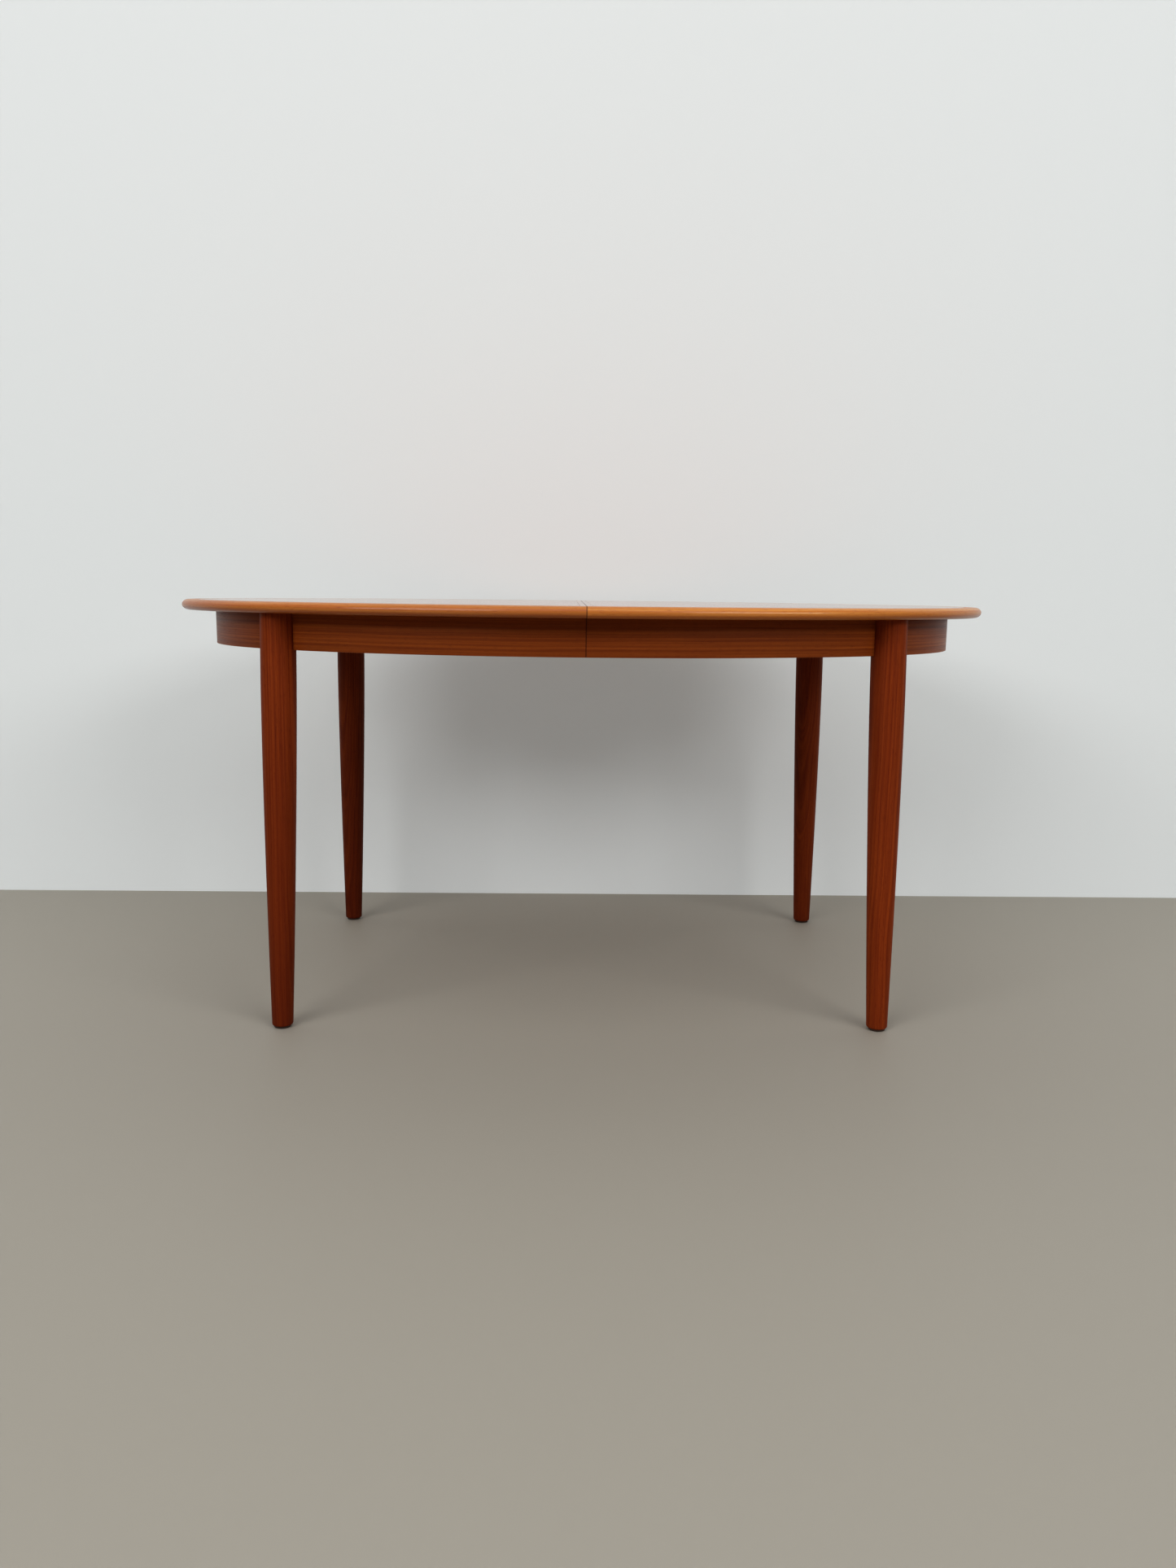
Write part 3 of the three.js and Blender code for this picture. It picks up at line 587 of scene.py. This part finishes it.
def teak(
    name, axes, tones, ring_spacing, dullness, shine, lacquer=0.0, leaf=None, fade=None, relief=0.6
):
    """Lacquered teak: growth rings cut at a slant, fine streaks and short dark pores, all along the grain.

    tones are the light, the dark and the deepest colour. dullness is the roughness, shine the strength of
    the wood's own reflection and lacquer the weight of a smooth coat over it. leaf is the width of the
    veneer's sheets, fade the limits of falling_shade's painted shade towards the deepest colour, and
    relief how strongly the streaks and the pores show in the surface.
    """
    light, dark, deep = tones
    recipe = Recipe(name, IOR=1.45, Specular_IOR_Level=shine, Coat_Weight=lacquer, Coat_Roughness=0.12)
    along, across, into = recipe.split(grain_space(recipe, axes))
    if leaf:
        along, across = book_matched(recipe, along, across, leaf)
    place = recipe.combine(along, across, into)

    rings = growth_rings(recipe, along, across, into, ring_spacing)
    streaks = recipe.streaks(place, (5.0, 420.0, 420.0), 4.0, 0.65)
    cloud = recipe.streaks(place, (1.4, 9.0, 9.0), 3.0)
    pores = recipe.remap(recipe.streaks(place, (70.0, 1700.0, 1700.0), 2.0), 0.60, 0.70)
    seam = seam_shade(recipe)

    figure = recipe.maths("MULTIPLY_ADD", rings, 0.5, recipe.remap(streaks, 0.3, 0.7, 0.0, 0.5))
    tone = recipe.mix(figure, light, dark)
    tone = recipe.mix(recipe.remap(cloud, 0.35, 0.75, 0.0, 0.45), tone, deep)
    # painted shade, darker towards the lower end
    if fade:
        tone = recipe.mix(falling_shade(recipe, *fade), tone, deep)
    tone = recipe.mix(recipe.maths("MULTIPLY", pores, 0.55), tone, deep)
    # painted shade in the gap where the halves meet
    tone = recipe.mix(recipe.maths("MULTIPLY", seam, 0.8), tone, SEAM_SHADE_TONE)
    recipe.feed(recipe.surface.inputs["Base Color"], tone)

    roughness = recipe.remap(streaks, 0.3, 0.7, dullness - 0.04, dullness + 0.05)
    roughness = recipe.maths("MULTIPLY_ADD", pores, 0.15, roughness)
    roughness = recipe.maths("MULTIPLY_ADD", seam, 0.5, roughness)
    recipe.feed(recipe.surface.inputs["Roughness"], roughness)

    height = recipe.maths("SUBTRACT", recipe.maths("MULTIPLY", streaks, 0.35), pores)
    recipe.bump(height, 0.00005, relief)
    return recipe.material


def beech(name, axes):
    """Bare beech: even and pale, with short darker flecks."""
    recipe = Recipe(name, IOR=1.45)
    place = grain_space(recipe, axes)
    streaks = recipe.streaks(place, (4.0, 260.0, 260.0), 4.0, 0.6)
    flecks = recipe.streaks(place, (160.0, 1100.0, 1100.0), 1.0)
    cloud = recipe.streaks(place, (2.0, 14.0, 14.0), 3.0)
    tone = recipe.mix(recipe.remap(streaks, 0.3, 0.7), colour(206, 172, 128), colour(184, 144, 100))
    tone = recipe.mix(recipe.remap(cloud, 0.4, 0.75, 0.0, 0.5), tone, colour(168, 122, 78))
    tone = recipe.mix(recipe.remap(flecks, 0.62, 0.7, 0.0, 0.5), tone, colour(140, 92, 55))
    recipe.feed(recipe.surface.inputs["Base Color"], tone)
    recipe.feed(recipe.surface.inputs["Roughness"], recipe.remap(streaks, 0.3, 0.7, 0.58, 0.72))
    recipe.bump(streaks, 0.00008, 0.5)
    return recipe.material


def plated(name, bright, worn, roughness):
    """Plated metal with fine rubbing marks and duller patches."""
    recipe = Recipe(name, Metallic=1.0)
    place = recipe.object_place()
    patches = recipe.noise(place, 55.0, 4.0)
    scratches = recipe.streaks(place, (300.0, 4000.0, 900.0), 3.0)
    tone = recipe.mix(recipe.remap(patches, 0.4, 0.7), bright, worn)
    recipe.feed(recipe.surface.inputs["Base Color"], tone)
    dullness = recipe.remap(patches, 0.35, 0.7, roughness - 0.1, roughness + 0.1)
    dullness = recipe.maths("MULTIPLY_ADD", scratches, 0.15, dullness)
    recipe.feed(recipe.surface.inputs["Roughness"], dullness)
    recipe.bump(scratches, 0.00003, 0.4)
    return recipe.material


def nylon(name):
    """Dark nylon with fine scuffs."""
    recipe = Recipe(name, IOR=1.5)
    scuffs = recipe.noise(recipe.object_place(), 700.0, 4.0)
    tone = recipe.mix(scuffs, colour(48, 34, 26), colour(74, 55, 43))
    recipe.feed(recipe.surface.inputs["Base Color"], tone)
    recipe.feed(recipe.surface.inputs["Roughness"], recipe.remap(scuffs, 0.3, 0.7, 0.45, 0.7))
    recipe.bump(scuffs, 0.0001, 0.4)
    return recipe.material


def paint(name, tone, roughness, glow=0.0):
    """Plain matt paint for the room. Its back lets everything through."""
    recipe = Recipe(
        name, Base_Color=tone, Roughness=roughness, Emission_Color=tone, Emission_Strength=glow
    )
    clear = recipe.node("ShaderNodeBsdfTransparent").outputs[0]
    backfacing = recipe.node("ShaderNodeNewGeometry").outputs["Backfacing"]
    choice = recipe.node("ShaderNodeMixShader", {0: backfacing, 1: recipe.surface.outputs[0], 2: clear})
    recipe.feed(recipe.tree.nodes["Material Output"].inputs["Surface"], choice.outputs[0])
    return recipe.material


# ---- the materials of this table ----
VENEER_TONES = (colour(196, 118, 52), colour(160, 84, 30), colour(116, 52, 16))
STRIP_TONES = (colour(190, 108, 46), colour(156, 76, 26), colour(116, 48, 14))
APRON_TONES = (colour(158, 84, 32), colour(114, 50, 17), colour(82, 27, 8))
LEG_TONES = (colour(158, 73, 26), colour(111, 41, 14), colour(78, 22, 7))
BAND_TONES = {
    "left": (colour(222, 150, 68), colour(186, 99, 34), colour(112, 33, 7)),
    "right": (colour(232, 164, 74), colour(198, 114, 40), colour(128, 42, 10)),
}
# Painted shade that darkens the band round its lower side, from just under the top to near the underside.
BAND_SHADE_FADE = (HEIGHT - 0.003, UNDERSIDE + 0.004, 0.5)
# Height from which painted shade darkens the legs towards their feet.
LEG_SHADE_START = 0.5
TOP_FINISH = {"dullness": 0.2, "shine": 0.5, "lacquer": 0.9, "relief": 0.2}
BAND_FINISH = {"dullness": 0.4, "shine": 0.35, "lacquer": 0.35}
APRON_FINISH = {"dullness": 0.36, "shine": 0.15}
LEG_FINISH = {"dullness": 0.5, "shine": 0.1}


def band_teak(end):
    """Each half's edge is its own wood, with painted shade that darkens it round its lower side."""
    return teak(
        f"teak band {end}",
        "grain",
        BAND_TONES[end],
        ring_spacing=0.006,
        fade=BAND_SHADE_FADE,
        **BAND_FINISH,
    )


def leg_teak(side, end):
    """Each leg is its own wood, the left ones darker. Painted shade darkens the back legs and each leg's
    foot.
    """
    # The back legs' factor is painted shade under the top; the foot share is painted shade towards the
    # foot, more on the left.
    tone_and_shade = {"left": 0.88, "right": 1.0}[end] * {"front": 1.0, "back": 0.77}[side]
    foot_shade_share = {"left": 0.5, "right": 0.25}[end]
    return teak(
        f"teak leg {side} {end}",
        "grain",
        [(*(tone_and_shade * part for part in tone[:3]), 1.0) for tone in LEG_TONES],
        ring_spacing=0.004,
        fade=(LEG_SHADE_START, 0.0, foot_shade_share),
        **LEG_FINISH,
    )


veneer = teak("teak veneer", "grain", VENEER_TONES, ring_spacing=0.011, leaf=0.19, **TOP_FINISH)
strip_teak = teak("teak strip", "YXZ", STRIP_TONES, ring_spacing=0.006, **TOP_FINISH)
apron_teak = teak("teak apron", "grain", APRON_TONES, ring_spacing=0.006, **APRON_FINISH)
beech_x = beech("beech along the table", "XYZ")
beech_y = beech("beech across the table", "YXZ")
steel = plated("zinc plated steel", colour(196, 197, 196), colour(150, 152, 152), 0.34)
brass = plated("brassed steel", colour(214, 178, 108), colour(164, 126, 66), 0.32)
glide_nylon = nylon("dark nylon")


# ---- building the object ----
WELD_DISTANCE = 0.00001


def give(piece, material):
    """Paints a piece."""
    piece.data.materials.clear()
    piece.data.materials.append(material)


def place_piece(piece, body, material, slot, *nodes):
    """Paints a new piece and lets it ride on its body, in place of the frame's nodes if any are named."""
    give(piece, material)
    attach(piece, body)
    if nodes:
        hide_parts(*nodes)


def keep_node(node, material, edge):
    """Shows a CAD node as it is, with its edges eased."""
    piece = NODES[node]
    give(piece, material)
    weld = piece.modifiers.new("weld", "WELD")
    weld.merge_threshold = WELD_DISTANCE
    soften(piece, edge)


for end in ENDS:
    body = f"{end}_half"
    place_piece(edge_band(end), body, band_teak(end), "solid_edge", f"edge_band_{end}")
    place_piece(panel(end), body, veneer, "top_veneer", f"top_panel_{end}")
    place_piece(apron_end(end), body, apron_teak, "apron_wood", f"apron_end_{end}")
    keep_node(f"seam_strip_{end}", strip_teak, ARRIS / 2)
    keep_node(f"cross_rail_{end}", beech_y, ARRIS * 2)
    for side in SIDES:
        place_piece(apron_side(side, end), body, apron_teak, "apron_wood", f"apron_{side}_{end}")
        place_piece(leg(side, end), body, leg_teak(side, end), "leg_wood", f"leg_{side}_{end}")
        place_piece(glide(side, end), body, glide_nylon, "glide", f"glide_{side}_{end}")
        keep_node(f"leg_block_{side}_{end}", beech_y, ARRIS * 2)
        keep_node(f"runner_{end}_{side}", beech_x, ARRIS)
        for place in ("lower", "upper"):
            keep_node(f"leg_bolt_{side}_{end}_{place}", steel, ARRIS)
        for place in ("inner", "outer"):
            keep_node(f"runner_screw_{end}_{side}_{place}", brass, ARRIS / 3)

for side in SIDES:
    keep_node(f"runner_middle_{side}", beech_x, ARRIS)
    for place in ("inner", "outer"):
        keep_node(f"dowel_{side}_{place}", beech_x, ARRIS)
    for fitting in ("latch_plate", "latch_pin", "latch_keeper"):
        keep_node(f"{fitting}_{side}", steel, ARRIS / 2)
    keep_node(f"latch_hook_{side}", brass, ARRIS)
    for fitting, body in (("latch_plate", "left_half"), ("latch_keeper", "right_half")):
        place_piece(plate_screws(f"{fitting}_{side}"), body, brass, "brass")


# ---- room ----
ROOM = 9.0  # how far the floor and the wall reach
WALL_Y = 0.57
TWIN_Y = WALL_Y + 0.003
FLOOR_TONE = colour(166, 160, 149)
WALL_TONE = colour(209, 212, 212)


def floor():
    corners = [(-ROOM, -ROOM, 0), (ROOM, -ROOM, 0), (ROOM, ROOM, 0), (-ROOM, ROOM, 0)]
    return plane("floor", corners, paint("pale floor", FLOOR_TONE, 0.6))


def wall():
    """The wall behind the table. It casts no shadow, so that the lamps reach the floor behind it too."""
    corners = [(-ROOM, WALL_Y, 0), (ROOM, WALL_Y, 0), (ROOM, WALL_Y, ROOM), (-ROOM, WALL_Y, ROOM)]
    made = plane("wall", corners, paint("pale wall", WALL_TONE, 0.9, glow=0.21))
    made.visible_shadow = False


def wall_twin():
    """Lights the floor behind the wall as the wall lights the floor before it. No camera sees it."""
    corners = [(ROOM, TWIN_Y, 0), (-ROOM, TWIN_Y, 0), (-ROOM, TWIN_Y, ROOM), (ROOM, TWIN_Y, ROOM)]
    made = plane("light behind the wall", corners, paint("wall light", WALL_TONE, 0.9, glow=0.5))
    made.visible_camera = False
    made.visible_glossy = False
    made.visible_shadow = False


def surround():
    """A pale round wall for the views that look away from the other. Only the camera sees it."""
    bpy.ops.mesh.primitive_cylinder_add(
        vertices=96, radius=ROOM, depth=2 * ROOM, end_fill_type="NOTHING"
    )
    made = bpy.context.object
    made.name = "surround"
    made.data.flip_normals()
    made.data.shade_smooth()
    give(made, paint("pale surround", WALL_TONE, 0.9, glow=0.6))
    made.visible_diffuse = False
    made.visible_glossy = False
    made.visible_shadow = False


def plane(name, corners, material):
    """A flat stage piece that faces the side from which its corners run anticlockwise."""
    mesh = bpy.data.meshes.new(name)
    mesh.from_pydata(corners, [], [(0, 1, 2, 3)])
    made = bpy.data.objects.new(name, mesh)
    made.data.materials.append(material)
    bpy.context.scene.collection.objects.link(made)
    return made


floor()
wall()
wall_twin()
surround()


# ---- light ----
def area_light(name, place, target, size, power):
    """A rectangular lamp that points at the target."""
    light = bpy.data.lights.new(name, "AREA")
    light.shape = "RECTANGLE"
    light.size, light.size_y = size
    light.energy = power
    lamp = bpy.data.objects.new(name, light)
    lamp.location = place
    lamp.rotation_euler = (Vector(target) - Vector(place)).to_track_quat("-Z", "Y").to_euler()
    bpy.context.scene.collection.objects.link(lamp)


def sky(name, tone, horizon, zenith):
    """Room light that grows from the horizon up to straight overhead."""
    world = bpy.data.worlds.new(name)
    world.use_nodes = True
    tree = world.node_tree
    background = tree.nodes["Background"]
    background.inputs["Color"].default_value = tone
    direction = tree.nodes.new("ShaderNodeTexCoord")
    split = tree.nodes.new("ShaderNodeSeparateXYZ")
    rise = tree.nodes.new("ShaderNodeMapRange")
    rise.inputs["To Min"].default_value = horizon
    rise.inputs["To Max"].default_value = zenith
    tree.links.new(direction.outputs["Generated"], split.inputs[0])
    tree.links.new(split.outputs["Z"], rise.inputs["Value"])
    tree.links.new(rise.outputs[0], background.inputs["Strength"])
    bpy.context.scene.world = world


sky("soft room light", tone=(0.93, 0.97, 1.0, 1), horizon=0.04, zenith=0.34)
area_light("ceiling light", (0.0, -2.6, 4.2), target=(0, -0.5, 0.5), size=(6.0, 3.0), power=55)
for side_of_room, x in (("left", -4.2), ("right", 4.8)):
    place = (x, -5.6, 3.8)
    area_light(f"{side_of_room} windows", place, target=(0, 0, 0.7), size=(4.5, 2.2), power=176)


# ---- camera ----
CAMERA_PLACE = Vector((-0.0250, -2.2603, 0.7531))
YAW = math.radians(-0.969)
PITCH = math.radians(-9.476)
ROLL = math.radians(-0.647)
LENS = 26.56
SENSOR_WIDTH = 36.0

camera_data = bpy.data.cameras.new("camera")
camera_data.sensor_width = SENSOR_WIDTH
camera_data.lens = LENS
camera = bpy.data.objects.new("camera", camera_data)
level = Matrix.Rotation(math.pi / 2, 4, "X")  # looks along +Y with +Z up
turn = Matrix.Rotation(YAW, 4, "Z") @ Matrix.Rotation(PITCH, 4, "X") @ Matrix.Rotation(ROLL, 4, "Y")
camera.matrix_world = Matrix.Translation(CAMERA_PLACE) @ turn @ level
bpy.context.scene.collection.objects.link(camera)
bpy.context.scene.camera = camera
bpy.context.scene.view_settings.view_transform = "Standard"
bpy.context.scene.view_settings.look = "Medium High Contrast"
